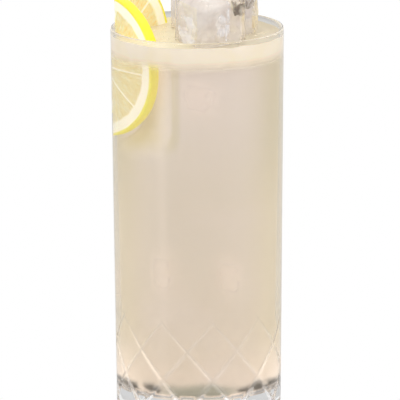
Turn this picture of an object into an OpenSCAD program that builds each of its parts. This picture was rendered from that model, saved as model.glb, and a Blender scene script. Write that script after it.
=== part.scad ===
// Tall straight glass of cloudy lemonade with a froth layer, two lemon slices and ice.
// The frame stands on the table: +Z is up, the origin is the centre of the foot and -Y faces the viewer.

/* [Glass] */
// Outer radius of the glass at its rim
rim_r = 33; // [32:0.5:40]
// Outer radius of the glass at its foot
foot_r = 31.3; // [29:0.5:38]
// Height of the glass from the table to the rim
glass_h = 152; // [120:1:190]
// Thickness of the wall at the rim
rim_wall = 1.2; // [1:0.1:2]
// Thickness of the wall just above the base
low_wall = 2; // [1.8:0.1:3]
// Thickness of the solid glass base
base_t = 12.5; // [8:0.5:18]
// Radius of the corner between the floor and the inner wall
floor_fillet_r = 4; // [2:0.5:8]
// Rounding of the outer edge of the foot
foot_round_r = 1.6; // [0.8:0.1:3]
// Width of the ring that the glass stands on
foot_ring_w = 6; // [4:0.5:9]
// Depth of the shallow dish under the base
dish_depth = 1.2; // [0.5:0.1:2.5]

/* [Cut pattern] */
// Number of slanting cuts in each of the two crossing families
cut_count = 10; // [6:1:12]
// Height at which the cuts fade out
cut_top = 46; // [35:1:60]
// Lean of the cuts from upright, in degrees
cut_lean = 41; // [30:1:48]
// Depth of the cuts near the foot
cut_depth = 0.8; // [0.4:0.1:1.2]
// Opening angle of the V section of a cut, in degrees
cut_angle = 110; // [90:5:130]
// Angle round the glass from one family's tops to the other's
cut_offset = 9; // [0:1:18]
// Angle round the glass of the first cut's top
cut_start = -84.5; // [-90:0.5:-54]

/* [Drink] */
// Distance from the rim down to the top of the froth
fill_gap = 3.2; // [2:0.1:12]
// Thickness of the froth
froth_t = 6.2; // [3:0.2:10]

/* [Lemon slices] */
// Radius of the lemon at the slices
slice_r = 27.5; // [24:0.5:33]
// Thickness of a slice
slice_t = 4.2; // [3:0.1:5.5]
// Thickness of the rind and the white pith together
rind_t = 4; // [3:0.1:5]
// Segments that a whole wheel of this lemon would show
segment_count = 10; // [8:1:12]
// Width of the skin between two segments
membrane_w = 0.9; // [0.5:0.1:1.5]
// How far the pulp lies below the cut face
pulp_depth = 0.3; // [0.2:0.1:0.5]
// Clearance between a slice and the glass
slice_gap = 0.35; // [0.2:0.05:1]
// Distance of each slice's straight side from the middle of the wheel: front, back
slice_cut = [5.5, 5]; // [2:0.5:8]
// Height of the wheel's middle below the rim: front, back
slice_drop = [14.7, 8]; // [4:0.1:18]
// Angle round the glass of each straight side's place at the wall: front, back
slice_place = [186, 161]; // [150:1:200]
// Angle that each slice is turned to the right about the upright: front, back
slice_turn = [-48, 45.5]; // [-60:0.5:60]

/* [Ice] */
// Widths and height of the left cube
ice_left_size = [21, 21, 25]; // [14:0.5:26]
// Widths and height of the right cube
ice_right_size = [18, 18, 24]; // [14:0.5:22]
// Widths and height of the back cube
ice_back_size = [14, 14, 22]; // [10:0.5:17]
// Rounding of the melted edges
ice_round_r = 2.2; // [1:0.1:3.5]
// Height of the cubes' tops above the rim: left, right, back
ice_rise = [15, 13.5, 16.5]; // [8:0.5:22]
// Gap between neighbouring cubes, and between the back cube and its slice
ice_gap = 0.8; // [0.4:0.1:2]
// Room kept for the wall beyond the cubes' outer corners: left, right
ice_wall_gap = [1.6, 3]; // [1:0.1:5]
// Angle round the glass of the left cube's place
ice_left_place = -71; // [-80:1:-60]
// Turn of the left cube about the upright, in degrees
ice_left_turn = 30; // [20:1:45]
// Turn of the right and back cubes about the upright, in degrees
ice_rear_turn = -10; // [-20:1:0]

/* [Hidden] */
$fn = 96;

// Levels up the glass
froth_top = glass_h - fill_gap;
froth_base = froth_top - froth_t;

// Radius of the inner wall just above the floor, and at the rim
inner_low_r = outer_r(base_t) - low_wall;
inner_rim_r = rim_r - rim_wall;

// Lean of the inner wall, which the slices follow
wall_lean = atan((inner_rim_r - inner_low_r) / (glass_h - base_t));

// Cuts: how far they run past the foot, the share of their length over which they deepen,
// how far a cutter stands out of the wall and starts above it, and the straight steps in each
cut_overrun = 1;
cut_ramp = 0.6;
cut_proud = 0.5;
cut_fade = 0.05;
cut_steps = 14;
cut_sweep = (cut_top + cut_overrun) * tan(cut_lean) / foot_r * 180 / PI;

// Middle of the left cube in plan, and its corner that points to the rear
ice_left_mid = polar(
    inner_rim_r - ice_wall_gap[0] - norm([ice_left_size[0], ice_left_size[1]]) / 2,
    ice_left_place
);
ice_left_corner = ice_left_mid + turned([ice_left_size[0], ice_left_size[1]] / 2, ice_left_turn);

// The rear cubes are square to each other. The right one lies behind the left cube's corner and
// near the wall, and the back one beside it, as far back as its slice and the wall let it.
rear_front_y = turned(ice_left_corner, -ice_rear_turn)[1] + ice_gap;
rear_far_y = rear_front_y + ice_right_size[1];
rear_right_x = sqrt(pow(inner_rim_r - ice_wall_gap[1], 2) - pow(rear_far_y, 2));
rear_left_x = rear_right_x - ice_right_size[0] - ice_gap - ice_back_size[0];
back_slice_face = slice_edge(1) + polar(slice_t, slice_turn[1] - 90);
back_slice_at = turned(back_slice_face, -ice_rear_turn);
back_slice_angle = slice_turn[1] - ice_rear_turn;
back_slice_y = back_slice_at[1] + (rear_left_x - back_slice_at[0]) * tan(back_slice_angle)
    - ice_gap / cos(back_slice_angle);
back_side_x = max(abs(rear_left_x), abs(rear_left_x + ice_back_size[0]));
back_wall_y = sqrt(pow(inner_rim_r - ice_wall_gap[1], 2) - pow(back_side_x, 2));
back_far_y = min(back_slice_y, back_wall_y);
ice_right_mid = turned(
    [rear_right_x - ice_right_size[0] / 2, rear_far_y - ice_right_size[1] / 2],
    ice_rear_turn
);
ice_back_mid = turned(
    [rear_left_x + ice_back_size[0] / 2, back_far_y - ice_back_size[1] / 2],
    ice_rear_turn
);

// Radius of the outer wall at height z
function outer_r(z) = foot_r + (rim_r - foot_r) * z / glass_h;

// Radius of the inner wall at height z
function inner_r(z) = inner_low_r + (inner_rim_r - inner_low_r) * (z - base_t) / (glass_h - base_t);

// Point at distance r from the axis and angle a round it
function polar(r, a) = [r * cos(a), r * sin(a)];

// Point p of the plan turned about the axis by angle a
function turned(p, a) = [p[0] * cos(a) - p[1] * sin(a), p[0] * sin(a) + p[1] * cos(a)];

// Distance from the axis, and place in plan, of the straight side of slice number i
function slice_reach(i) = inner_r(glass_h - slice_drop[i]) - slice_gap;
function slice_edge(i) = polar(slice_reach(i), slice_place[i]);

// Points along an arc round [x, y] from angle a0 to angle a1
function arc(x, y, r, a0, a1, steps) = [
    for (i = [0:steps])
        let (a = a0 + (a1 - a0) * i / steps)
            [x + r * cos(a), y + r * sin(a)]
];

// Inside of the glass from the middle of the floor up to the corner's top
function floor_profile() = concat(
    [[0, base_t]],
    arc(inner_r(base_t + floor_fillet_r) - floor_fillet_r, base_t + floor_fillet_r, floor_fillet_r, -90, 0, 8)
);

// Half section of the glass
function glass_profile() = concat(
    [[0, dish_depth], [foot_r - foot_ring_w - dish_depth, dish_depth], [foot_r - foot_ring_w, 0]],
    arc(foot_r - foot_round_r, foot_round_r, foot_round_r, -90, 0, 6),
    arc(rim_r - rim_wall / 2, glass_h - rim_wall / 2, rim_wall / 2, 0, 180, 8),
    [for (i = [len(floor_profile()) - 1:-1:0]) floor_profile()[i]]
);

// Depth of a cut at share t of the way down: it rises out of the wall at the top
function cut_depth_at(t) = min(1, t / cut_ramp) * (cut_depth + cut_fade) - cut_fade;

// The three corners of a cutter's level section at share t, for a family that runs to side 1 or -1
function cut_section(side, start, t) =
    let (z = cut_top - (cut_top + cut_overrun) * t)
    let (r = outer_r(z))
    let (depth = cut_depth_at(t))
    let (half_w = (depth + cut_proud) * tan(cut_angle / 2) / cos(cut_lean))
    let (mid = start + side * cut_sweep * t)
    let (spread = atan(half_w / r))
    [
        [(r - depth) * cos(mid), (r - depth) * sin(mid), z],
        [(r + cut_proud) * cos(mid - spread), (r + cut_proud) * sin(mid - spread), z],
        [(r + cut_proud) * cos(mid + spread), (r + cut_proud) * sin(mid + spread), z]
    ];

// One V cutter that follows the wall down to the foot
module cutter(side, start) {
    points = [
        for (i = [0:cut_steps])
            each cut_section(side, start, i / cut_steps)
    ];
    faces = [
        for (i = [0:cut_steps - 1])
            for (k = [0:2])
                let (a = 3 * i + k)
                let (b = 3 * i + (k + 1) % 3)
                each [[a, b, a + 3], [b, b + 3, a + 3]]
    ];
    last = 3 * cut_steps;
    polyhedron(points, concat(faces, [[2, 1, 0], [last, last + 1, last + 2]]));
}

// Both crossing families of cuts
module cut_pattern() {
    pitch = 360 / cut_count;
    for (i = [0:cut_count - 1]) {
        cutter(1, cut_start + i * pitch);
        cutter(-1, cut_start + cut_offset + i * pitch);
    }
}

module glass() {
    color([0.87, 0.9, 0.88, 0.45])
        difference() {
            rotate_extrude()
                polygon(glass_profile());
            cut_pattern();
        }
}

// Half section of one segment of pulp, as a wedge that points to the middle of the wheel
module segment(pitch) {
    tip = membrane_w / 2 / sin(pitch / 2);
    outer = slice_r - rind_t;
    spare = atan(membrane_w / 2 / outer);
    polygon(concat([[tip, 0]], arc(0, 0, outer, spare - pitch / 2, pitch / 2 - spare, 6)));
}

// Wheel of lemon lying flat, with a bevelled rind
module wheel() {
    bevel = slice_t / 8;
    rotate_extrude()
        polygon([
            [0, 0],
            [slice_r - bevel, 0],
            [slice_r, bevel],
            [slice_r, slice_t - bevel],
            [slice_r - bevel, slice_t],
            [0, slice_t]
        ]);
}

// Slice lying flat: a wheel cut short of its middle, with the pulp sunk in both faces
module slice(cut) {
    pitch = 360 / segment_count;
    difference() {
        wheel();
        translate([cut - 2 * slice_r, -2 * slice_r, -slice_t])
            cube([2 * slice_r, 4 * slice_r, 3 * slice_t]);
        for (i = [-floor(segment_count / 4):floor(segment_count / 4)])
            for (level = [-slice_t, slice_t - pulp_depth])
                rotate([0, 0, i * pitch])
                    translate([0, 0, level])
                        linear_extrude(slice_t + pulp_depth)
                            segment(pitch);
    }
}

// Slice number i on its edge in the glass: its straight side is at the wall,
// and its thickness lies on the side that faces the other slice
module standing_slice(i) {
    rotate([0, 0, slice_place[i]])
        translate([slice_reach(i), 0, glass_h - slice_drop[i]])
            rotate([0, wall_lean, 0])
                rotate([0, 0, slice_turn[i] - slice_place[i]])
                    rotate([90, 0, 0])
                        translate([-slice_cut[i], 0, i == 0 ? -slice_t : 0])
                            slice(slice_cut[i]);
}

// Melted cube with its top at height rise above the rim
module cube_of_ice(size, middle, rise, turn) {
    inner = size - 2 * ice_round_r * [1, 1, 1];
    translate([middle[0], middle[1], glass_h + rise - size[2] / 2])
        rotate([0, 0, turn])
            hull()
                for (x = [-1, 1], y = [-1, 1], z = [-1, 1])
                    translate([x * inner[0], y * inner[1], z * inner[2]] / 2)
                        sphere(ice_round_r, $fn = 16);
}

module lemon_slice_front() {
    color([0.96, 0.9, 0.5])
        standing_slice(0);
}

module lemon_slice_back() {
    color([0.94, 0.87, 0.5])
        standing_slice(1);
}

module ice_cube_left() {
    color([0.88, 0.87, 0.86, 0.8])
        cube_of_ice(ice_left_size, ice_left_mid, ice_rise[0], ice_left_turn);
}

module ice_cube_right() {
    color([0.85, 0.83, 0.8, 0.8])
        cube_of_ice(ice_right_size, ice_right_mid, ice_rise[1], ice_rear_turn);
}

module ice_cube_back() {
    color([0.86, 0.85, 0.83, 0.8])
        cube_of_ice(ice_back_size, ice_back_mid, ice_rise[2], ice_rear_turn);
}

// What stands in the drink
module garnish_and_ice() {
    standing_slice(0);
    standing_slice(1);
    ice_cube_left();
    ice_cube_right();
    ice_cube_back();
}

module lemonade() {
    color([0.85, 0.8, 0.72])
        difference() {
            rotate_extrude()
                polygon(concat(floor_profile(), [[inner_r(froth_base), froth_base], [0, froth_base]]));
            garnish_and_ice();
        }
}

module froth() {
    color([0.96, 0.91, 0.83])
        difference() {
            rotate_extrude()
                polygon([
                    [0, froth_base],
                    [inner_r(froth_base), froth_base],
                    [inner_r(froth_top), froth_top],
                    [0, froth_top]
                ]);
            garnish_and_ice();
        }
}

glass();
lemonade();
froth();
lemon_slice_front();
lemon_slice_back();
ice_cube_left();
ice_cube_right();
ice_cube_back();
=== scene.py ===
"""Looks of a tall glass of cloudy lemonade with froth, two lemon slices and ice."""

import math
import random

import bmesh
import bpy
from mathutils import Euler, Matrix, Vector, noise


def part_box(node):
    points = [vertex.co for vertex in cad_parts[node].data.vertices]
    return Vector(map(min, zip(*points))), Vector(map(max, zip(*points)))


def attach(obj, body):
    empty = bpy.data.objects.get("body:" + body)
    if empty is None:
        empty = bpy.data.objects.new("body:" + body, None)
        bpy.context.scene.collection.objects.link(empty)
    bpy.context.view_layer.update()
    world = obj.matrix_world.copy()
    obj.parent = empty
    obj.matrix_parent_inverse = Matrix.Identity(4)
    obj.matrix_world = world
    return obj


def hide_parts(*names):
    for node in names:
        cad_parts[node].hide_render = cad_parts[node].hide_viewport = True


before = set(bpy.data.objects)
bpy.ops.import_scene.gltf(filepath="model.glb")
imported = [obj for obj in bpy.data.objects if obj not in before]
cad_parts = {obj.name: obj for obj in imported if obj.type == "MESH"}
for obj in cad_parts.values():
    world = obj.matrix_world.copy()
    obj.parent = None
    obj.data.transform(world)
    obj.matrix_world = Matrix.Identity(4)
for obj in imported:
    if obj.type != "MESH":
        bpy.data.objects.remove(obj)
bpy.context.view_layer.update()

MM = 0.001

# ---------------------------------------------------------------- sizes

# Glass: heights and the rim come from the frame, the walls are the construction's own
RIM_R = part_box("glass")[1].x
RIM_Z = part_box("glass")[1].z
FOOT_R = 31.3 * MM
RIM_WALL = 1.2 * MM
LOW_WALL = 2 * MM
BASE_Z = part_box("lemonade")[0].z
FLOOR_FILLET_R = 4 * MM
FOOT_ROUND_R = 1.6 * MM
FOOT_RING_W = 6 * MM
DISH_DEPTH = 1.2 * MM

# Slanting cuts
CUT_COUNT = 10
CUT_TOP = 46 * MM
CUT_LEAN = math.radians(41)
CUT_DEPTH = 0.8 * MM
CUT_HALF_ANGLE = math.radians(55)
CUT_START = math.radians(-84.5)
CUT_OFFSET = math.radians(9)
CUT_OVERRUN = 1 * MM
CUT_RAMP = 0.6
CUT_FADE = 0.75

# Drink
FROTH_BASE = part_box("froth")[0].z
FROTH_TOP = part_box("froth")[1].z
INTO_WALL = 0.12 * MM
FROTH_INTO_WALL = 0.25 * MM
FROTH_INTO_DRINK = 4 * MM
ROUND_STEPS = 192

# Lemon slices: front, back
SLICE_R = 27.5 * MM
SLICE_T = 4.2 * MM
SLICE_GAP = 0.35 * MM
SLICE_CUT = (5.5 * MM, 5 * MM)
SLICE_DROP = (14.7 * MM, 8 * MM)
SLICE_PLACE = (math.radians(186), math.radians(161))
SLICE_TURN = (math.radians(-48), math.radians(45.5))
SEGMENT_COUNT = 10
RIND_T = 4.9 * MM
ZEST_T = 1.1 * MM
MEMBRANE_W = 0.9 * MM
SLICE_BEVEL = 0.55 * MM
# Steps round the wheel, out over a face, over the peel and across the straight side
SLICE_STEPS = (190, 40, 8, 4)

# Ice
ICE_SIZES = {
    "ice_cube_left": (Vector((21, 21, 25)) * MM, 30),
    "ice_cube_right": (Vector((18, 18, 24)) * MM, -10),
    "ice_cube_back": (Vector((14, 14, 22)) * MM, -10),
}
ICE_ROUND = 2.2 * MM
ICE_WAVE = 0.03
HEART_SHARE = 0.93
HEART_ROUND = 4 * MM
HEART_WAVE = 0.05

# View
VIEW_DISTANCE = 3.5
VIEW_ELEVATION = math.radians(12.4)
VIEW_WIDTH = 152.7 * MM
VIEW_AIM = Vector((0.8 * MM, 0, 84.5 * MM))
VIEW_ROLL = math.radians(-0.26)
VIEW_CLIP = (0.1, 30)
SENSOR_WIDTH = 36

# Brightness of the studio before and behind the glass, and the share of it from below
SKY_FRONT = 0.5
SKY_BACK = 1.0
SKY_BELOW = 0.5

# Soft bright window to the left of the viewer: where it lies and how bright it is
WINDOW_TOWARDS = (-0.766, -0.643, 0)
WINDOW_EDGE = 0.952
WINDOW_MIDDLE = 0.988
WINDOW_LIGHT = 0.9


def outer_radius(z):
    """Radius of the outer wall at height z."""
    return FOOT_R + (RIM_R - FOOT_R) * z / RIM_Z


def inner_radius(z):
    """Radius of the inner wall at height z."""
    low = outer_radius(BASE_Z) - LOW_WALL
    return low + (RIM_R - RIM_WALL - low) * (z - BASE_Z) / (RIM_Z - BASE_Z)


def mix(a, b, t):
    return a + (b - a) * t


def smoothstep(low, high, x):
    """0 at low, 1 at high, eased; low may be the larger."""
    t = min(1, max(0, (x - low) / (high - low)))
    return t * t * (3 - 2 * t)


# ---------------------------------------------------------------- mesh helpers


def arc(x, z, r, start, end, steps):
    """Points along an arc, angles in degrees."""
    points = []
    for i in range(steps + 1):
        a = math.radians(mix(start, end, i / steps))
        points.append((x + r * math.cos(a), z + r * math.sin(a)))
    return points


def line(start, end, steps):
    """Points from start to just before end."""
    return [
        (mix(start[0], end[0], i / steps), mix(start[1], end[1], i / steps))
        for i in range(steps)
    ]


def revolve(outline, segments, radius=None):
    """Closed solid turned from an outline that starts and ends on the axis.
    radius(angle, r, z) may reshape a ring."""
    points = [(0, 0, outline[0][1])]
    for r, z in outline[1:-1]:
        for k in range(segments):
            a = 2 * math.pi * k / segments
            shaped = radius(a, r, z) if radius else r
            points.append((shaped * math.cos(a), shaped * math.sin(a), z))
    points.append((0, 0, outline[-1][1]))
    rings = len(outline) - 2
    last = len(points) - 1
    faces = []
    for k in range(segments):
        n = (k + 1) % segments
        faces.append((0, 1 + n, 1 + k))
        faces.append((last, last - segments + k, last - segments + n))
        for i in range(rings - 1):
            a = 1 + i * segments
            faces.append((a + k, a + n, a + segments + n, a + segments + k))
    return points, faces


def add_piece(name, points, faces, material, sharp=40):
    """A new object of the root body, smooth but for edges sharper than an angle."""
    mesh = bpy.data.meshes.new(name)
    mesh.from_pydata(points, [], faces)
    mesh.materials.append(material)
    tidy = bmesh.new()
    tidy.from_mesh(mesh)
    bmesh.ops.recalc_face_normals(tidy, faces=tidy.faces)
    tidy.to_mesh(mesh)
    tidy.free()
    mesh.polygons.foreach_set("use_smooth", [True] * len(mesh.polygons))
    mesh.set_sharp_from_angle(angle=math.radians(sharp))
    obj = bpy.data.objects.new(name, mesh)
    bpy.context.collection.objects.link(obj)
    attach(obj, "root")
    return obj


# ---------------------------------------------------------------- material helpers


def colour(text):
    """Linear colour of a hex colour."""
    values = []
    for i in (0, 2, 4):
        c = int(text[i : i + 2], 16) / 255
        values.append(c / 12.92 if c <= 0.04045 else ((c + 0.055) / 1.055) ** 2.4)
    return (*values, 1)


class Wiring:
    """Nodes of one material or group, added left to right."""

    def __init__(self, tree):
        self.tree = tree

    def add(self, kind, **values):
        """A node; values whose names are its properties are set, the rest are its sockets."""
        made = self.tree.nodes.new(kind)
        made.location = (220 * len(self.tree.nodes), 0)
        for key, value in values.items():
            if hasattr(made, key):
                setattr(made, key, value)
            else:
                self.put(made, key.replace("_", " "), value)
        return made

    def put(self, made, name, value):
        """Links a socket to value, or sets it."""
        socket = made.inputs[int(name)] if name.isdigit() else made.inputs[name]
        if isinstance(value, bpy.types.NodeSocket):
            self.tree.links.new(value, socket)
        else:
            socket.default_value = value

    def blend(self, share, a, b):
        """Colour a to b by share."""
        made = self.add("ShaderNodeMix", data_type="RGBA")
        self.put(made, "0", share)
        self.put(made, "6", a)
        self.put(made, "7", b)
        return made.outputs[2]

    def ramp(self, value, low, high, to_low=0.0, to_high=1.0):
        """value mapped from low..high to to_low..to_high, clamped and smoothed."""
        made = self.add("ShaderNodeMapRange", interpolation_type="SMOOTHSTEP")
        self.put(made, "Value", value)
        self.put(made, "From Min", low)
        self.put(made, "From Max", high)
        self.put(made, "To Min", to_low)
        self.put(made, "To Max", to_high)
        return made.outputs["Result"]

    def blend_values(self, share, a, b):
        """Value a to b by share."""
        made = self.add("ShaderNodeMix", data_type="FLOAT")
        self.put(made, "0", share)
        self.put(made, "2", a)
        self.put(made, "3", b)
        return made.outputs[0]

    def math(self, operation, a, b=0.0):
        made = self.add("ShaderNodeMath", operation=operation)
        self.put(made, "0", a)
        self.put(made, "1", b)
        return made.outputs[0]

    def noise(self, at, scale, detail=3.0, distortion=0.0):
        made = self.add("ShaderNodeTexNoise")
        self.put(made, "Vector", at)
        self.put(made, "Scale", scale)
        self.put(made, "Detail", detail)
        self.put(made, "Distortion", distortion)
        return made.outputs["Fac"]

    def cells(self, at, scale, feature="F1"):
        made = self.add("ShaderNodeTexVoronoi", feature=feature)
        self.put(made, "Vector", at)
        self.put(made, "Scale", scale)
        return made.outputs["Distance"]

    def place(self):
        """Object coordinates, in metres."""
        return self.add("ShaderNodeTexCoord").outputs["Object"]

    def bump(self, height, distance, strength=1.0):
        made = self.add("ShaderNodeBump")
        self.put(made, "Height", height)
        self.put(made, "Distance", distance)
        self.put(made, "Strength", strength)
        return made.outputs["Normal"]


def new_material(name):
    """An empty material with its Principled shader: (material, wiring, shader)."""
    made = bpy.data.materials.new(name)
    made.use_nodes = True
    wiring = Wiring(made.node_tree)
    shader = made.node_tree.nodes["Principled BSDF"]
    return made, wiring, shader


def new_group(name, inputs, outputs):
    """A shader node group: (tree, wiring, its input node, its output node)."""
    tree = bpy.data.node_groups.new(name, "ShaderNodeTree")
    for label, kind in inputs:
        tree.interface.new_socket(label, in_out="INPUT", socket_type=kind)
    for label, kind in outputs:
        tree.interface.new_socket(label, in_out="OUTPUT", socket_type=kind)
    wiring = Wiring(tree)
    return tree, wiring, wiring.add("NodeGroupInput"), wiring.add("NodeGroupOutput")


def use_group(wiring, tree, **values):
    made = wiring.add("ShaderNodeGroup")
    made.node_tree = tree
    for key, value in values.items():
        wiring.put(made, key.replace("_", " "), value)
    return made


# ---------------------------------------------------------------- shared effects


def make_murk():
    """Colour of the drink: a drift from foot to froth with soft clouds in it."""
    tree, w, given, out = new_group(
        "murk",
        [("Low", "NodeSocketColor"), ("Middle", "NodeSocketColor"), ("High", "NodeSocketColor"),
         ("Cloud", "NodeSocketColor"), ("Cloudiness", "NodeSocketFloat")],
        [("Color", "NodeSocketColor")],
    )
    at = w.place()
    height = w.add("ShaderNodeSeparateXYZ")
    w.put(height, "Vector", at)
    level = height.outputs["Z"]
    share = w.ramp(level, BASE_Z, 0.55 * FROTH_BASE)
    drift = w.blend(share, given.outputs["Low"], given.outputs["Middle"])
    share = w.ramp(level, 0.6 * FROTH_BASE, 0.95 * FROTH_BASE)
    drift = w.blend(share, drift, given.outputs["High"])
    clouds = w.ramp(w.noise(at, 42.0, 2.0, 0.6), 0.45, 0.7)
    share = w.math("MULTIPLY", clouds, given.outputs["Cloudiness"])
    w.put(out, "Color", w.blend(share, drift, given.outputs["Cloud"]))
    return tree


def make_grain():
    """Fine unevenness: a value round 1 for colours and a height for bumps."""
    tree, w, given, out = new_group(
        "grain",
        [("Scale", "NodeSocketFloat"), ("Amount", "NodeSocketFloat")],
        [("Value", "NodeSocketFloat"), ("Height", "NodeSocketFloat")],
    )
    at = w.place()
    coarse = w.noise(at, given.outputs["Scale"], 4.0, 0.3)
    low = w.math("SUBTRACT", 1.0, given.outputs["Amount"])
    high = w.math("ADD", 1.0, given.outputs["Amount"])
    w.put(out, "Value", w.ramp(coarse, 0.3, 0.7, low, high))
    w.put(out, "Height", coarse)
    return tree


murk = make_murk()
grain = make_grain()


# ---------------------------------------------------------------- materials

# Refraction
GLASS_IOR = 1.5
DRINK_IOR = 1.2
ICE_IOR = 1.31

# Colours
# Painted highlight and painted shade that the cuts' faces give off, by how they face
CUT_PAINTED_HIGHLIGHT = colour("FFF0E2")
CUT_PAINTED_SHADE = colour("3A3630")
DRINK_LOW = colour("E8DBCB")
DRINK_MIDDLE = colour("E5DACC")
DRINK_HIGH = colour("ECE1D9")
DRINK_CLOUD = colour("EBDFD4")
# Painted shade at the drink's edges, where it turns away from the viewer: yellower, and darker high
# up
DRINK_EDGE = colour("E6DABD")
DRINK_EDGE_HIGH = colour("D3C8A4")
# Painted light and painted shade of the drink's foot: the two foot colours light it, the shade and
# the dark floor colour below darken it
DRINK_FOOT = colour("FDEFE2")
DRINK_FOOT_LIT = (2.2, 1.9, 1.65, 1)
DRINK_SHADE = colour("B7B29F")
FLOOR_PAINTED_SHADE = colour("6E6558")
SUNK_PALE = colour("F6E6DE")
FROTH_LIGHT = colour("FFF4E2")
FROTH_DARK = colour("F2E2C6")
FROTH_WARM = colour("FAECD0")
# Painted shade on the froth's top: yellow bounce light by the lemon, darker by the ice
FROTH_TOP_LEMON_BOUNCE = colour("F3E6C4")
FROTH_TOP_ICE_SHADE = colour("DDD0B4")
PULP_LIGHT = colour("FFF3C4")
PULP_DARK = colour("FBE9A8")
PULP_DEEP = colour("F6E092")
PITH = colour("FFFAE6")
PITH_SHADE = colour("FFF3D6")
ZEST = colour("FFF23E")
ZEST_PORE = colour("F5DC2E")
ZEST_WARM = colour("FDEA4C")
ICE_CLEAR = colour("FAFAFC")
FROST = colour("FBFAFC")
# Painted shade in the ice, as dark sheets standing for dark reflections
SHADE = colour("B0A698")
SHADE_DEEP = colour("6E6052")
# Painted yellow reflection along the right cube's edge
WARM = colour("F4E4BE")
HEART = colour("EEE6DD")
HEART_SHADE = colour("DDD2C9")

# Strength of the light that each thing gives off by itself
CUT_STRENGTH = 0.17
FROTH_SIDE_STRENGTH = 0.18
FROTH_TOP_STRENGTH = 0.04
PITH_STRENGTH = 0.3
ZEST_STRENGTH = 0.2
PULP_STRENGTH = 0.13
FLAW_STRENGTH = 0.15
HEART_STRENGTH = 0.16
SUNK_STRENGTH = 0.3

# Drink's foot: painted light at the sides, a dark ragged band of painted shade before the middle and
# painted dark blots of shade beside it
FOOT_GLOW_TOP = 38 * MM
FOOT_GLOW_SHARE = 0.8
FOOT_RAGGED = 5 * MM
BAND_TOP = BASE_Z + 7.6 * MM
BAND_FULL = BASE_Z + 4 * MM
BAND_MIDDLE = 0.24 * FOOT_R
BAND_END = 0.55 * FOOT_R
BAND_SHARE = 0.85
SHADE_BLOT_TOP = BASE_Z + 5.8 * MM
SHADE_BLOT_FULL = BASE_Z + 3 * MM
SHADE_BLOT_START = 0.42 * FOOT_R
SHADE_BLOT_INSIDE = 0.5 * FOOT_R
SHADE_BLOT_SHARE = 0.9
FLOOR_FADE_TOP = BASE_Z + 1.5 * MM
FLOOR_FADE_END = BASE_Z + 0.5 * MM

# Share of the drink's veils that stays before the front slice
VEIL_AT_SLICE = 0.22

# Froth: how far it fades into the drink, and where the painted shade on its top changes from yellow
# light bounced off the lemon to darker shade by the ice
FROTH_FADE_START = FROTH_BASE - 3.8 * MM
FROTH_FADE_END = FROTH_BASE + 1.6 * MM
FROTH_WOBBLE = 1.6 * MM
TOP_SHADE_X_LEMON = -8 * MM
TOP_SHADE_X_ICE = 12 * MM


def let_lamps_through(material, shader, share):
    """Lets a share of the lamps' light straight through clear stuff, as it does in a thin wall."""
    w = Wiring(material.node_tree)
    light = w.add("ShaderNodeLightPath")
    clear = w.add("ShaderNodeBsdfTransparent")
    both = w.add("ShaderNodeMixShader")
    w.put(both, "0", w.math("MULTIPLY", light.outputs["Is Shadow Ray"], share))
    w.put(both, "1", shader.outputs["BSDF"])
    w.put(both, "2", clear.outputs["BSDF"])
    w.put(material.node_tree.nodes["Material Output"], "Surface", both.outputs[0])


def clear_glass(name, ior):
    """Smooth glass that refracts as ior says."""
    material, w, shader = new_material(name)
    w.put(shader, "Base Color", (1, 1, 1, 1))
    w.put(shader, "Transmission Weight", 1.0)
    w.put(shader, "IOR", ior)
    w.put(shader, "Roughness", 0.0)
    let_lamps_through(material, shader, 0.9)
    return material


def cut_glass():
    """Faces of the slanting cuts, a little matt, giving off a painted highlight or painted shade by
    how each faces.
    """
    material, w, shader = new_material("cut_glass")
    uneven = use_group(w, grain, Scale=400.0, Amount=0.3)
    w.put(shader, "Base Color", (1, 1, 1, 1))
    w.put(shader, "Transmission Weight", 0.9)
    w.put(shader, "IOR", GLASS_IOR)
    lit = w.add("ShaderNodeAttribute", attribute_name="lit").outputs["Fac"]
    # painted highlight where a cut's face would catch light, painted shade elsewhere
    w.put(shader, "Emission Color", w.blend(w.ramp(lit, 0.1, 0.5), CUT_PAINTED_SHADE, CUT_PAINTED_HIGHLIGHT))
    w.put(shader, "Emission Strength", CUT_STRENGTH)
    w.put(shader, "Roughness", w.ramp(uneven.outputs["Height"], 0.3, 0.7, 0.05, 0.18))
    let_lamps_through(material, shader, 0.7)
    return material


def drink_foot(w, tint, height, aside, away):
    """The drink's tint with painted light and painted shade at its foot, and the share of painted
    light that the
    foot gives off: more at the sides and on the floor, none in the painted shade band and the painted
    dark blots."""
    sides = w.ramp(away, 0.12, 0.5, 0.0, FOOT_GLOW_SHARE)
    lit = w.math("MULTIPLY", w.ramp(height, FOOT_GLOW_TOP, BASE_Z), sides)
    tint = w.blend(lit, tint, DRINK_FOOT)
    ragged = w.math("MULTIPLY", w.noise(w.place(), 75.0, 1.0), FOOT_RAGGED)
    low = w.math("SUBTRACT", height, ragged)
    shift = FOOT_RAGGED / 2
    band = w.ramp(low, BAND_TOP - shift, BAND_FULL - shift)
    band = w.math("MULTIPLY", band, w.ramp(aside, BAND_MIDDLE, BAND_END, BAND_SHARE, 0.0))
    # below zero on the floor itself, which is left light
    band = w.math("SUBTRACT", band, w.ramp(height, FLOOR_FADE_TOP, FLOOR_FADE_END))
    tint = w.blend(w.math("MAXIMUM", band, 0.0), tint, DRINK_SHADE)
    # painted dark blots of shade beside the band
    shade_blots = w.ramp(low, SHADE_BLOT_TOP - shift, SHADE_BLOT_FULL - shift)
    patchy = w.ramp(w.noise(w.place(), 130.0, 1.0), 0.4, 0.52, 0.0, SHADE_BLOT_SHARE)
    shade_blots = w.math("MULTIPLY", shade_blots, patchy)
    shade_blots = w.math("MULTIPLY", shade_blots, w.ramp(aside, SHADE_BLOT_START, SHADE_BLOT_INSIDE))
    tint = w.blend(shade_blots, tint, FLOOR_PAINTED_SHADE)
    lit = w.math("SUBTRACT", w.math("SUBTRACT", lit, band), shade_blots)
    return tint, w.math("MAXIMUM", lit, 0.0)


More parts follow.
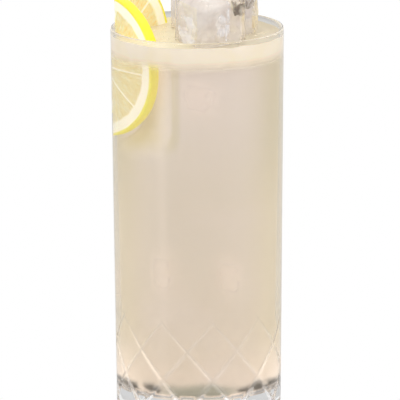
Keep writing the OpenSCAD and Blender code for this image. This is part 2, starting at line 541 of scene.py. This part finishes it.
def drink_skin(name, alpha, edge_alpha, glow):
    """Cloudy drink as seen at one depth: thin near the wall, and thinner before the slice.
    edge_alpha is the alpha where the skin turns away from the viewer."""
    material, w, shader = new_material(name)
    tint = use_group(w, murk, Low=DRINK_LOW, Middle=DRINK_MIDDLE, High=DRINK_HIGH,
                     Cloud=DRINK_CLOUD, Cloudiness=0.5).outputs["Color"]
    facing = w.add("ShaderNodeLayerWeight")
    w.put(facing, "Blend", 0.5)
    away = facing.outputs["Facing"]
    spot = w.add("ShaderNodeSeparateXYZ")
    w.put(spot, "Vector", w.place())
    height = spot.outputs["Z"]
    high = w.ramp(height, 0.5 * FROTH_BASE, 0.85 * FROTH_BASE)
    # painted shade: the edge colours where the skin turns away from the viewer
    tint = w.blend(w.ramp(away, 0.1, 0.6), tint, w.blend(high, DRINK_EDGE, DRINK_EDGE_HIGH))
    aside = w.math("ABSOLUTE", spot.outputs["X"])
    tint, lit = drink_foot(w, tint, height, aside, away)
    w.put(shader, "Base Color", tint)
    w.put(shader, "Roughness", 0.5)
    w.put(shader, "Specular IOR Level", 0.1)
    if alpha < 1:
        thin = w.add("ShaderNodeAttribute", attribute_name="thin").outputs["Fac"]
        share = w.ramp(thin, 0.0, 1.0, 1.0, VEIL_AT_SLICE)
        turned = w.ramp(away, 0.3, 0.85, alpha, edge_alpha)
        w.put(shader, "Alpha", w.math("MULTIPLY", share, turned))
    w.put(shader, "Emission Color", w.blend(lit, tint, DRINK_FOOT_LIT))
    w.put(shader, "Emission Strength", glow)
    return material


def froth_foam():
    """Pale foam of fine bubbles that thins out downwards into the drink. Its top is painted as shade,
    yellow with light from the lemon and darker by the ice, and its sides glow brighter than its top.
    """
    material, w, shader = new_material("froth_foam")
    at = w.place()
    level = w.add("ShaderNodeSeparateXYZ")
    w.put(level, "Vector", at)
    fine = w.ramp(w.cells(at, 1300.0), 0.1, 0.6)
    broad = w.ramp(w.noise(at, 90.0, 3.0, 0.4), 0.35, 0.7)
    tint = w.blend(w.math("MULTIPLY", fine, 0.12), FROTH_LIGHT, FROTH_DARK)
    tint = w.blend(w.math("MULTIPLY", broad, 0.6), tint, FROTH_WARM)
    # painted shade on the top, with painted yellow bounce light by the lemon
    upright = w.add("ShaderNodeSeparateXYZ")
    w.put(upright, "Vector", w.add("ShaderNodeNewGeometry").outputs["Normal"])
    top = w.ramp(upright.outputs["Z"], 0.3, 0.8)
    across = w.ramp(level.outputs["X"], TOP_SHADE_X_LEMON, TOP_SHADE_X_ICE)
    tint = w.blend(top, tint, w.blend(across, FROTH_TOP_LEMON_BOUNCE, FROTH_TOP_ICE_SHADE))
    w.put(shader, "Base Color", tint)
    w.put(shader, "Roughness", 0.45)
    w.put(shader, "Specular IOR Level", 0.25)
    w.put(shader, "Emission Color", tint)
    w.put(shader, "Emission Strength", w.ramp(top, 0.0, 1.0, FROTH_SIDE_STRENGTH, FROTH_TOP_STRENGTH))
    wobble = w.math("MULTIPLY", w.noise(at, 90.0, 2.0), FROTH_WOBBLE)
    edge = w.math("SUBTRACT", level.outputs["Z"], wobble)
    w.put(shader, "Alpha", w.ramp(edge, FROTH_FADE_START, FROTH_FADE_END))
    w.put(shader, "Normal", w.bump(w.cells(at, 700.0), 0.04 * MM, 0.2))
    return material


def lemon_flesh():
    """Cut lemon: pulp, membranes and pith from the mesh's own masks, juice sacs from cells."""
    material, w, shader = new_material("cut_lemon")
    at = w.place()
    pulp = w.add("ShaderNodeAttribute", attribute_name="pulp").outputs["Fac"]
    zest = w.add("ShaderNodeAttribute", attribute_name="zest").outputs["Fac"]
    wheel = w.add("ShaderNodeAttribute", attribute_name="wheel").outputs["Vector"]
    sacs = w.cells(wheel, 1.0)
    veins = w.noise(wheel, 1.7, 3.0, 0.5)
    flesh = w.blend(w.ramp(sacs, 0.1, 0.75), PULP_LIGHT, PULP_DARK)
    flesh = w.blend(w.ramp(veins, 0.52, 0.7), flesh, PULP_DEEP)
    pith = w.blend(w.noise(at, 700.0, 3.0), PITH, PITH_SHADE)
    inside = w.blend(pulp, pith, flesh)
    pores = w.ramp(w.cells(at, 1100.0), 0.0, 0.35)
    peel = w.blend(pores, ZEST_PORE, ZEST)
    peel = w.blend(w.ramp(w.noise(at, 160.0, 2.0), 0.45, 0.7), peel, ZEST_WARM)
    tint = w.blend(zest, inside, peel)
    w.put(shader, "Base Color", tint)
    w.put(shader, "Roughness", w.ramp(pulp, 0.0, 1.0, 0.5, 0.24))
    w.put(shader, "Subsurface Weight", 0.35)
    w.put(shader, "Subsurface Radius", (1.0, 0.75, 0.3))
    w.put(shader, "Subsurface Scale", 2.2 * MM)
    w.put(shader, "Emission Color", tint)
    rind_light = w.blend_values(zest, PITH_STRENGTH, ZEST_STRENGTH)
    w.put(shader, "Emission Strength", w.blend_values(pulp, rind_light, PULP_STRENGTH))
    relief = w.blend(zest, w.math("MULTIPLY", sacs, pulp), pores)
    w.put(shader, "Normal", w.bump(relief, 0.25 * MM, 0.5))
    return material


def clear_ice():
    """Ice, a little matt and uneven in places."""
    material, w, shader = new_material("clear_ice")
    uneven = use_group(w, grain, Scale=110.0, Amount=0.5)
    w.put(shader, "Base Color", ICE_CLEAR)
    w.put(shader, "Transmission Weight", 1.0)
    w.put(shader, "IOR", ICE_IOR)
    w.put(shader, "Roughness", w.ramp(uneven.outputs["Height"], 0.4, 0.75, 0.04, 0.2))
    w.put(shader, "Normal", w.bump(uneven.outputs["Height"], 0.4 * MM, 0.3))
    let_lamps_through(material, shader, 0.8)
    return material


def ice_flaw(name, pale, dark, least, most, fineness=1.0):
    """A sheet inside the ice between two colours and two alphas, used for cracks and trapped air and
    for painted highlights, painted shade and a painted yellow reflection. A fineness below 1 makes
    its pattern coarser."""
    material, w, shader = new_material(name)
    at = w.place()
    tint = w.blend(w.ramp(w.noise(at, 400.0 * fineness, 2.0), 0.4, 0.65), pale, dark)
    w.put(shader, "Base Color", tint)
    w.put(shader, "Emission Color", tint)
    w.put(shader, "Emission Strength", FLAW_STRENGTH)
    w.put(shader, "Roughness", 0.35)
    w.put(shader, "Alpha", w.ramp(w.noise(at, 230.0 * fineness, 2.0, 0.8), 0.4, 0.62, least, most))
    w.put(shader, "Normal", w.bump(w.noise(at, 300.0 * fineness, 2.0), 0.5 * MM, 0.6))
    return material


def milky_heart():
    """Cloudy middle of an ice cube."""
    material, w, shader = new_material("ice_heart")
    at = w.place()
    facing = w.add("ShaderNodeLayerWeight")
    w.put(facing, "Blend", 0.5)
    tint = w.blend(w.ramp(w.noise(at, 110.0, 2.0, 0.5), 0.35, 0.65), HEART, HEART_SHADE)
    w.put(shader, "Base Color", tint)
    w.put(shader, "Roughness", 0.6)
    w.put(shader, "Specular IOR Level", 0.1)
    w.put(shader, "Emission Color", tint)
    w.put(shader, "Emission Strength", HEART_STRENGTH)
    milky = w.ramp(w.noise(at, 160.0, 2.0, 0.6), 0.3, 0.65, 0.4, 0.75)
    edge = w.ramp(facing.outputs["Facing"], 0.2, 0.85, 1.0, 0.15)
    w.put(shader, "Alpha", w.math("MULTIPLY", milky, edge))
    return material


def sunk_ice():
    """Ice under the cloudy drink: a paler patch that fades away from its middle."""
    material, w, shader = new_material("sunk_ice")
    at = w.place()
    w.put(shader, "Base Color", SUNK_PALE)
    w.put(shader, "Roughness", 0.6)
    w.put(shader, "Specular IOR Level", 0.0)
    w.put(shader, "Emission Color", SUNK_PALE)
    w.put(shader, "Emission Strength", SUNK_STRENGTH)
    milky = w.ramp(w.noise(at, 120.0, 2.0), 0.3, 0.7, 0.25, 0.5)
    middle = w.add("ShaderNodeAttribute", attribute_name="middle").outputs["Fac"]
    w.put(shader, "Alpha", w.math("MULTIPLY", milky, middle))
    return material


# ---------------------------------------------------------------- glass


def cut_depth(angle, z):
    """Depth of the slanting cuts in the outer wall at an angle and height."""
    if z > CUT_TOP:
        return 0
    share = (CUT_TOP - z) / (CUT_TOP + CUT_OVERRUN)
    full = min(1, share / CUT_RAMP) ** CUT_FADE * CUT_DEPTH
    turn = (CUT_TOP - z) * math.tan(CUT_LEAN) / FOOT_R
    pitch = 2 * math.pi / CUT_COUNT
    deepest = 0
    for side, start in ((1, CUT_START), (-1, CUT_START + CUT_OFFSET)):
        away = (angle - start - side * turn + pitch / 2) % pitch - pitch / 2
        across = abs(away) * outer_radius(z) * math.cos(CUT_LEAN)
        deepest = max(deepest, full - across / math.tan(CUT_HALF_ANGLE))
    return deepest


def shaped_wall(angle, r, z):
    """Ring radius with the cuts taken out of the outer wall."""
    if r < outer_radius(z) - 0.6 * FOOT_ROUND_R or r < inner_radius(z) + 0.6 * LOW_WALL:
        return r
    return min(r, outer_radius(z) - cut_depth(angle, z))


def cut_light(face):
    """How much painted light a cut's face gets: more if it faces up or round, and more at the left.
    """
    around = Vector((-face.center.y, face.center.x, 0)).normalized()
    left = smoothstep(0.3 * FOOT_R, -0.7 * FOOT_R, face.center.x)
    catching = 0.5 * face.normal.dot(around) + 0.85 * face.normal.z
    return max(0, catching) * mix(0.5, 1, left)


def make_glass():
    """The tumbler, with the wetted inner wall and the cuts in looks of their own."""
    ring_r = FOOT_R - FOOT_RING_W
    dish_r = ring_r - DISH_DEPTH
    fillet_z = BASE_Z + FLOOR_FILLET_R
    fillet_x = inner_radius(fillet_z) - FLOOR_FILLET_R
    low_wall = (outer_radius(FOOT_ROUND_R), FOOT_ROUND_R)
    cut_end = (outer_radius(CUT_TOP + MM), CUT_TOP + MM)
    lip = arc(RIM_R - RIM_WALL / 2, RIM_Z - RIM_WALL / 2, RIM_WALL / 2, 0, 180, 10)
    outline = (
        line((0, DISH_DEPTH), (dish_r, DISH_DEPTH), 6)
        + line((dish_r, DISH_DEPTH), (ring_r, 0), 3)
        + line((ring_r, 0), (FOOT_R - FOOT_ROUND_R, 0), 4)
        + arc(FOOT_R - FOOT_ROUND_R, FOOT_ROUND_R, FOOT_ROUND_R, -90, 0, 6)[:-1]
        + line(low_wall, cut_end, 116)
        + line(cut_end, lip[0], 16)
        + lip
        + line(lip[-1], (inner_radius(FROTH_TOP), FROTH_TOP), 3)[1:]
        + line((inner_radius(FROTH_TOP), FROTH_TOP), (inner_radius(fillet_z), fillet_z), 20)
        + arc(fillet_x, fillet_z, FLOOR_FILLET_R, 0, -90, 10)
        + line((fillet_x, BASE_Z), (0, BASE_Z), 6)[1:]
        + [(0, BASE_Z)]
    )
    points, faces = revolve(outline, 480, shaped_wall)
    look = clear_glass("clear_glass", GLASS_IOR)
    glass = add_piece("tumbler", points, faces, look, sharp=50)
    glass.data.materials.append(clear_glass("wetted_glass", GLASS_IOR / DRINK_IOR))
    glass.data.materials.append(cut_glass())
    for face in glass.data.polygons:
        middle = face.center
        inside = math.hypot(middle.x, middle.y) < inner_radius(middle.z) + 0.3 * LOW_WALL
        if inside and BASE_Z - 0.1 * MM < middle.z < FROTH_TOP:
            face.material_index = 1
        reached = math.hypot(middle.x, middle.y) > outer_radius(middle.z) - 1.2 * CUT_DEPTH
        if reached and cut_depth(math.atan2(middle.y, middle.x), middle.z) > 0.03 * MM:
            face.material_index = 2
    # painted light of each cut's face, read by cut_glass
    layer = glass.data.attributes.new("lit", "FLOAT", "FACE")
    layer.data.foreach_set("value", [cut_light(face) for face in glass.data.polygons])
    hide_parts("glass")


# ---------------------------------------------------------------- drink and froth


# Part of the drink that the front slice stands in: angles in degrees and heights, each from
# where it starts to where it is full
SLICE_SECTOR = ((158, 172), (258, 238))
SLICE_HEIGHT = (103 * MM, 116 * MM)


def before_slice(x, y, z):
    """1 in the part of the drink that the front slice stands in, 0 away from it."""
    angle = math.degrees(math.atan2(y, x)) % 360
    sector = smoothstep(*SLICE_SECTOR[0], angle) * smoothstep(*SLICE_SECTOR[1], angle)
    return sector * smoothstep(*SLICE_HEIGHT, z)


# Height over which a skin comes to its full depth, and the rows of its wall
INSET_RISE = 22 * MM
WALL_ROWS = 60


def drink_outline(inset, top):
    """Half section of the drink, inset from the inner wall but nearly full at the floor; below
    zero it reaches into the wall."""
    low_inset = min(inset, 0.1 * inset + 0.3 * MM)
    floor_z = BASE_Z + low_inset
    fillet_z = floor_z + FLOOR_FILLET_R
    wall = inner_radius(fillet_z) - low_inset
    points = line((0, floor_z), (wall - FLOOR_FILLET_R, floor_z), 6)
    points += arc(wall - FLOOR_FILLET_R, fillet_z, FLOOR_FILLET_R, -90, 0, 8)
    for i in range(1, WALL_ROWS + 1):
        z = mix(fillet_z, top, i / WALL_ROWS)
        depth = mix(low_inset, inset, smoothstep(0, INSET_RISE, z - fillet_z))
        points.append((inner_radius(z) - depth, z))
    return points + line(points[-1], (0, top), 8)[1:] + [(0, top)]


SKINS = (
    # name, depth inside the wall, alpha, alpha at its edges, glow
    ("lemonade", -INTO_WALL, 0.2, 0.6, 0.14),
    ("lemonade_veil_outer", 1.2 * MM, 0.22, 0.3, 0.14),
    ("lemonade_veil_inner", 2.5 * MM, 0.28, 0.2, 0.14),
    ("lemonade_depth", 5.6 * MM, 1.0, 1.0, 0.22),
)
SKIN_OVER_FROTH_BASE = 2.5 * MM
HOLLOW = 8.5 * MM
HOLLOW_AT_R = 25 * MM


def hollowed(point):
    """A point of the deepest skin, drawn in towards the axis round the front slice."""
    x, y, z = point
    share = 1 - before_slice(x, y, z) * HOLLOW / HOLLOW_AT_R
    return x * share, y * share, z


def make_drink():
    """The drink as skins one inside the other, the outermost in place of the solid."""
    for name, inset, alpha, edge_alpha, glow in SKINS:
        outline = drink_outline(inset, FROTH_BASE + SKIN_OVER_FROTH_BASE)
        points, faces = revolve(outline, ROUND_STEPS)
        if alpha == 1:
            points = [hollowed(point) for point in points]
        look = drink_skin(name + "_look", alpha, edge_alpha, glow)
        skin = add_piece(name, points, faces, look)
        layer = skin.data.attributes.new("thin", "FLOAT", "POINT")
        layer.data.foreach_set("value", [before_slice(*point) for point in points])
        if inset < 0:
            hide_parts("lemonade")


def froth_height(x, y):
    """Uneven top of the froth: it climbs at the wall and swells in low mounds."""
    r = math.hypot(x, y)
    climb = 0.9 * MM * smoothstep(-3.5 * MM, 0, r - inner_radius(FROTH_TOP))
    swell = 0.5 * MM * noise.noise(Vector((x, y, 0)) / (7 * MM))
    lumps = 0.1 * MM * noise.noise(Vector((x, y, 0.02)) / (1.3 * MM))
    return FROTH_TOP + climb + swell + lumps


def make_froth(look):
    """The froth, from below where it fades out up to its uneven top."""
    low = FROTH_BASE - FROTH_INTO_DRINK
    foot = (inner_radius(low) + FROTH_INTO_WALL, low)
    brim = (inner_radius(FROTH_TOP) + FROTH_INTO_WALL, FROTH_TOP)
    outline = line((0, low), foot, 5) + line(foot, brim, 12) + line(brim, (0, FROTH_TOP), 60)
    outline.append((0, FROTH_TOP))
    points, faces = revolve(outline, ROUND_STEPS)
    shaped = [
        (x, y, froth_height(x, y) if z >= FROTH_TOP - 0.01 * MM else z)
        for x, y, z in points
    ]
    froth = add_piece("froth", shaped, faces, look, sharp=70)
    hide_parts("froth")


# ---------------------------------------------------------------- lemon slices


def segment_edges(seed):
    """Uneven angles of the membranes round the wheel."""
    chance = random.Random(seed)
    pitch = 2 * math.pi / SEGMENT_COUNT
    return [i * pitch + chance.uniform(-0.12, 0.12) * pitch for i in range(SEGMENT_COUNT)]


def pulp_share(x, y, edges):
    """1 on pulp, 0 on membrane and pith, for a place on the cut face."""
    r = math.hypot(x, y)
    a = math.atan2(y, x)
    nearest = 1.0
    for edge in edges:
        away = (a - edge + math.pi) % (2 * math.pi) - math.pi
        if abs(away) < math.pi / 2:
            nearest = min(nearest, abs(r * math.sin(away)))
    skin = smoothstep(0.1 * MEMBRANE_W, 0.6 * MEMBRANE_W, nearest)
    wavy = 0.5 * MM * noise.noise(Vector((x, y, 0)) / (4 * MM))
    rind = smoothstep(-0.3 * MM, 0.5 * MM, SLICE_R - RIND_T - r + wavy)
    return skin * rind


def slice_matrix(i):
    """Pose of slice i: its wheel's middle lies beyond its straight side, which is at the wall."""
    lean = math.atan((RIM_R - RIM_WALL - (outer_radius(BASE_Z) - LOW_WALL)) / (RIM_Z - BASE_Z))
    z = RIM_Z - SLICE_DROP[i]
    reach = inner_radius(z) - SLICE_GAP
    return (
        Matrix.Rotation(SLICE_PLACE[i], 4, "Z")
        @ Matrix.Translation((reach, 0, z))
        @ Matrix.Rotation(lean, 4, "Y")
        @ Matrix.Rotation(SLICE_TURN[i] - SLICE_PLACE[i], 4, "Z")
        @ Matrix.Rotation(math.pi / 2, 4, "X")
        @ Matrix.Translation((-SLICE_CUT[i], 0, -SLICE_T if i == 0 else 0))
    )


def make_slice(i, node, material):
    """Half wheel of lemon. Round each angle of the wheel runs a closed loop: one face out to
    the peel, over the peel, back along the other face and across the straight side."""
    edges = segment_edges(7 + i)
    cut = SLICE_CUT[i]
    bevel = SLICE_BEVEL
    end = math.acos(cut / (SLICE_R - 2 * bevel))
    turns, face_steps, peel_steps, side_steps = SLICE_STEPS
    zest_r = SLICE_R - ZEST_T
    points = []
    pulp = []
    zest = []
    for k in range(turns + 1):
        a = mix(-end, end, k / turns)
        start = cut / math.cos(a)
        limit = SLICE_R * (1 + 0.006 * noise.noise(Vector((3 * a, i, 0)))) - bevel
        for side in (0, 1):
            base = SLICE_T * side
            out = 1 if side else -1
            radii = [mix(start, limit, s / face_steps) for s in range(face_steps + 1)]
            if side:
                radii.reverse()
            for r in radii:
                x = r * math.cos(a)
                y = r * math.sin(a)
                share = pulp_share(x, y, edges)
                grainy = noise.noise(Vector((x, y, base)) / (1.1 * MM))
                sunk = (0.28 + 0.16 * grainy) * MM * share
                points.append((x, y, base - out * sunk))
                pulp.append(share)
                zest.append(smoothstep(zest_r - 0.35 * MM, zest_r + 0.1 * MM, r))
            if side == 0:
                for s in range(1, peel_steps):
                    t = math.pi * s / peel_steps
                    r = limit + bevel * math.sin(t) ** 0.6
                    z = mix(0, SLICE_T, 0.5 - 0.5 * math.cos(t))
                    points.append((r * math.cos(a), r * math.sin(a), z))
                    pulp.append(0)
                    zest.append(1)
        x = start * math.cos(a)
        y = start * math.sin(a)
        for s in range(1, side_steps):
            points.append((x, y, SLICE_T * (1 - s / side_steps)))
            pulp.append(pulp_share(x, y, edges))
            zest.append(0)
    loop = len(points) // (turns + 1)
    faces = [tuple(range(loop)), tuple(range(turns * loop, (turns + 1) * loop))]
    for k in range(turns):
        for s in range(loop):
            n = (s + 1) % loop
            faces.append((k * loop + s, k * loop + n, (k + 1) * loop + n, (k + 1) * loop + s))
    made = add_piece(node, points, faces, material, sharp=55)
    mesh = made.data
    for label, values in (("pulp", pulp), ("zest", zest)):
        layer = mesh.attributes.new(label, "FLOAT", "POINT")
        layer.data.foreach_set("value", values)
    # juice sacs lie along the radius: coordinates stretched that way
    layer = mesh.attributes.new("wheel", "FLOAT_VECTOR", "POINT")
    stretched = []
    for x, y, z in points:
        stretched += (math.hypot(x, y) / (3.2 * MM), math.atan2(y, x) * 15, z / (4 * MM))
    layer.data.foreach_set("vector", stretched)
    made.matrix_world = slice_matrix(i)
    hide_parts(node)


# ---------------------------------------------------------------- ice


def melted_block(size, steps, roundness, wave, seed):
    """Points and faces of a block with melted edges and wavy sides, round its own middle."""
    grid = bmesh.new()
    bmesh.ops.create_cube(grid, size=1)
    bmesh.ops.subdivide_edges(grid, edges=grid.edges, cuts=steps, use_grid_fill=True)
    half = size / 2
    shift = Vector((seed * 3.7, seed * 1.3, seed * 2.1))
    for v in grid.verts:
        p = Vector((v.co.x * size.x, v.co.y * size.y, v.co.z * size.z))
        core = Vector([max(-h + roundness, min(h - roundness, c)) for h, c in zip(half, p)])
        out = p - core
        p = core + out.normalized() * roundness if out.length > 1e-9 else p
        broad = noise.noise(p / (9 * MM) + shift)
        small = noise.noise(p / (3.5 * MM) - shift)
        p *= 1 - wave * (0.5 + 0.5 * broad) - 0.25 * wave * (0.5 + 0.5 * small)
        v.co = p
    points = [tuple(v.co) for v in grid.verts]
    grid.verts.index_update()
    faces = [tuple(v.index for v in f.verts) for f in grid.faces]
    grid.free()
    return points, faces


def wavy_sheet(width, height, seed):
    """Ragged oval sheet with a wavy face, standing across the view, as points and faces."""
    steps = 12
    points = []
    for i in range(steps + 1):
        for j in range(steps + 1):
            u = 2 * i / steps - 1
            v = 2 * j / steps - 1
            ragged = 1 + 0.25 * noise.noise(Vector((u * 2, v * 2, seed)))
            lift = 0.25 * noise.noise(Vector((u * 1.6, v * 1.6, 5 + seed)))
            x = u * math.sqrt(1 - v * v / 2) * ragged * width / 2
            z = v * math.sqrt(1 - u * u / 2) * ragged * height / 2
            points.append((x, lift * min(width, height), z))
    faces = []
    for i in range(steps):
        for j in range(steps):
            a = i * (steps + 1) + j
            faces.append((a, a + 1, a + steps + 2, a + steps + 1))
    return points, faces


ICE_FLAWS = (
    # name, look, middle x, y, z, width, height, turns about x and z in degrees
    # the first two sheets are painted highlights along the left cube's right edge, drawn as bright
    # cracks
    ("left_highlight_streak", "frost_and_highlight", (11.4, -22.6, 157.5), 2, 18, 2, 30),
    ("left_highlight_knot", "haze_and_highlight", (9, -23.9, 157), 4, 9, 5, 30),
    ("left_face", "haze_and_highlight", (-3.8, -19.4, 154.5), 13, 12, 0, -60),
    ("left_veil", "frost_and_highlight", (3, -12, 160), 9, 11, 25, -10),
    # the next two are painted shade: dark sheets standing for dark reflections in the ice
    ("left_painted_shade", "shade", (16.2, -19.8, 165), 7.5, 10, 3, 30),
    ("right_painted_shade", "shade", (17.5, 0.5, 163), 9, 9, -5, -8),
    # painted yellow reflection along the right cube's edge
    ("right_yellow_reflection", "warm", (22, 2, 156), 2.5, 15, 0, -10),
    ("right_veil", "frost_and_highlight", (12, 8, 151), 10, 9, 30, -25),
    ("back_veil", "frost_and_highlight", (-4, 12, 158), 8, 12, 15, 20),
)


def make_ice(look, heart_look, flaw_looks):
    """The standing cubes in place of their solids, each with a cloudy heart, and their flaws."""
    for seed, (node, (size, turn)) in enumerate(ICE_SIZES.items()):
        low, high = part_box(node)
        pose = Matrix.Translation((low + high) / 2) @ Matrix.Rotation(math.radians(turn), 4, "Z")
        points, faces = melted_block(size, 30, ICE_ROUND, ICE_WAVE, seed + 1)
        cube = add_piece(node, points, faces, look, sharp=80)
        cube.matrix_world = pose
        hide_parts(node)
        points, faces = melted_block(HEART_SHARE * size, 12, HEART_ROUND, HEART_WAVE, seed + 5)
        heart = add_piece(node + "_heart", points, faces, heart_look, sharp=80)
        heart.matrix_world = pose
    for seed, (name, kind, middle, width, height, tip, turn) in enumerate(ICE_FLAWS):
        points, faces = wavy_sheet(width * MM, height * MM, seed)
        flaw = add_piece("ice_" + name, points, faces, flaw_looks[kind], sharp=80)
        turned = Euler((math.radians(tip), 0, math.radians(turn))).to_matrix().to_4x4()
        flaw.matrix_world = Matrix.Translation(Vector(middle) * MM) @ turned


SUNK_BLOCKS = (
    # angle round the axis, height of the middle, width, height
    (-88, 130, 28, 25),
    (-64, 60, 20, 28),
    (-119, 62, 18, 30),
    (20, 95, 22, 27),
    (100, 104, 26, 28),
    (140, 50, 23, 27),
)
SUNK_FACE_R = 27.2 * MM
SUNK_DEPTH = 16 * MM
SUNK_ROUND = 6.5 * MM
# Where a block fades out and where it is full, as shares of half its width and height
SUNK_FADE = (0.85, 0.1)


def make_sunk_ice(look):
    """Blocks near the wall, each with one face towards it."""
    for n, (angle, z, width, height) in enumerate(SUNK_BLOCKS):
        size = Vector((SUNK_DEPTH, width * MM, height * MM))
        points, faces = melted_block(size, 18, SUNK_ROUND, ICE_WAVE, n + 21)
        block = add_piece(f"sunk_ice_{n + 1}", points, faces, look, sharp=80)
        middle = [
            smoothstep(*SUNK_FADE, abs(2 * across / size.y))
            * smoothstep(*SUNK_FADE, abs(2 * up / size.z))
            for _, across, up in points
        ]
        layer = block.data.attributes.new("middle", "FLOAT", "POINT")
        layer.data.foreach_set("value", middle)
        out = Matrix.Translation((SUNK_FACE_R - SUNK_DEPTH / 2, 0, z * MM))
        block.matrix_world = Matrix.Rotation(math.radians(angle), 4, "Z") @ out


# ---------------------------------------------------------------- bubbles


BUBBLE_COUNT = 160
BUBBLE_R = (0.2, 0.5)
BUBBLE_MARGIN = 5 * MM


def make_bubbles(look):
    """Little domes of foam over the froth, as one mesh."""
    chance = random.Random(5)
    grid = bmesh.new()
    for _ in range(BUBBLE_COUNT):
        size = chance.uniform(*BUBBLE_R) * MM
        r = (inner_radius(FROTH_TOP) - BUBBLE_MARGIN) * math.sqrt(chance.random())
        a = chance.uniform(0, 2 * math.pi)
        x = r * math.cos(a)
        y = r * math.sin(a)
        pose = Matrix.Translation((x, y, froth_height(x, y) + 0.1 * size))
        bmesh.ops.create_icosphere(grid, subdivisions=2, radius=size, matrix=pose)
    points = [tuple(v.co) for v in grid.verts]
    grid.verts.index_update()
    faces = [tuple(v.index for v in f.verts) for f in grid.faces]
    grid.free()
    add_piece("froth_bubbles", points, faces, look, sharp=80)


# ---------------------------------------------------------------- stage, light, camera


def make_sky():
    """White studio, dimmer from the viewer's side and from below. The viewer sees plain white
    past the glass."""
    world = bpy.data.worlds.new("studio")
    bpy.context.scene.world = world
    world.use_nodes = True
    w = Wiring(world.node_tree)
    direction = w.add("ShaderNodeSeparateXYZ")
    w.put(direction, "Vector", w.add("ShaderNodeTexCoord").outputs["Generated"])
    front = w.ramp(direction.outputs["Y"], -1.0, -0.4, SKY_FRONT, SKY_BACK)
    below = w.ramp(direction.outputs["Z"], -0.35, -0.02, SKY_BELOW, 1.0)
    along = w.add("ShaderNodeVectorMath", operation="DOT_PRODUCT")
    w.put(along, "0", w.add("ShaderNodeTexCoord").outputs["Generated"])
    w.put(along, "1", WINDOW_TOWARDS)
    window = w.ramp(along.outputs["Value"], WINDOW_EDGE, WINDOW_MIDDLE, 0.0, WINDOW_LIGHT)
    studio = w.math("ADD", w.math("MULTIPLY", front, below), window)
    seen = w.add("ShaderNodeLightPath").outputs["Is Camera Ray"]
    sky = world.node_tree.nodes["Background"]
    w.put(sky, "Color", (1, 1, 1, 1))
    w.put(sky, "Strength", w.blend_values(seen, studio, 1.0))


def add_lamp(name, at, width, height, power):
    """A rectangular lamp that faces the glass."""
    light = bpy.data.lights.new(name, "AREA")
    light.shape = "RECTANGLE"
    light.size = width
    light.size_y = height
    light.energy = power
    lamp = bpy.data.objects.new(name, light)
    bpy.context.collection.objects.link(lamp)
    lamp.location = at
    lamp.rotation_mode = "QUATERNION"
    lamp.rotation_quaternion = (Vector(LAMP_TARGET) - Vector(at)).to_track_quat("-Z", "Y")


LAMPS = (
    # name, place, width, height, power
    ("glint_left", (-0.76, -0.47, 0.54), 0.12, 0.5, 0.08),
    ("glint_right", (0.76, -0.47, 0.54), 0.12, 0.5, 0.65),
    ("glint_front_left", (-0.34, -0.84, 0.53), 0.09, 0.4, 0.55),
    ("glint_front_right", (0.6, -0.67, 0.53), 0.09, 0.4, 0.4),
    ("softbox_top", (0, 0.1, 1.0), 0.7, 0.7, 0.7),
)
LAMP_TARGET = (0, 0, 0.09)


def make_camera():
    """The viewer, level with the glass but for a look down."""
    data = bpy.data.cameras.new("camera")
    data.sensor_width = SENSOR_WIDTH
    data.lens = data.sensor_width * VIEW_DISTANCE / VIEW_WIDTH
    data.clip_start, data.clip_end = VIEW_CLIP
    camera = bpy.data.objects.new("camera", data)
    bpy.context.collection.objects.link(camera)
    back = Vector((0, -math.cos(VIEW_ELEVATION), math.sin(VIEW_ELEVATION)))
    camera.location = VIEW_AIM + back * VIEW_DISTANCE
    facing = (-back).to_track_quat("-Z", "Y").to_matrix().to_4x4()
    turned = facing @ Matrix.Rotation(VIEW_ROLL, 4, "Z")
    camera.rotation_mode = "QUATERNION"
    camera.rotation_quaternion = turned.to_quaternion()
    bpy.context.scene.camera = camera


make_camera()
make_sky()
for lamp in LAMPS:
    add_lamp(*lamp)
make_glass()
make_drink()
foam = froth_foam()
make_froth(foam)
lemon = lemon_flesh()
make_slice(0, "lemon_slice_front", lemon)
make_slice(1, "lemon_slice_back", lemon)
flaws = {
    "frost_and_highlight": ice_flaw("ice_frost", FROST, FROST, 0.0, 0.65),
    "haze_and_highlight": ice_flaw("ice_haze", FROST, FROST, 0.2, 0.6, 0.3),
    "shade": ice_flaw("ice_shade", SHADE, SHADE_DEEP, 0.2, 0.85),
    "warm": ice_flaw("ice_warm", WARM, WARM, 0.3, 0.8),
}
make_ice(clear_ice(), milky_heart(), flaws)
make_sunk_ice(sunk_ice())
make_bubbles(foam)

scene = bpy.context.scene
scene.view_settings.view_transform = "Standard"
scene.cycles.max_bounces = 24
scene.cycles.transmission_bounces = 20
scene.cycles.transparent_max_bounces = 24
scene.cycles.use_denoising = True
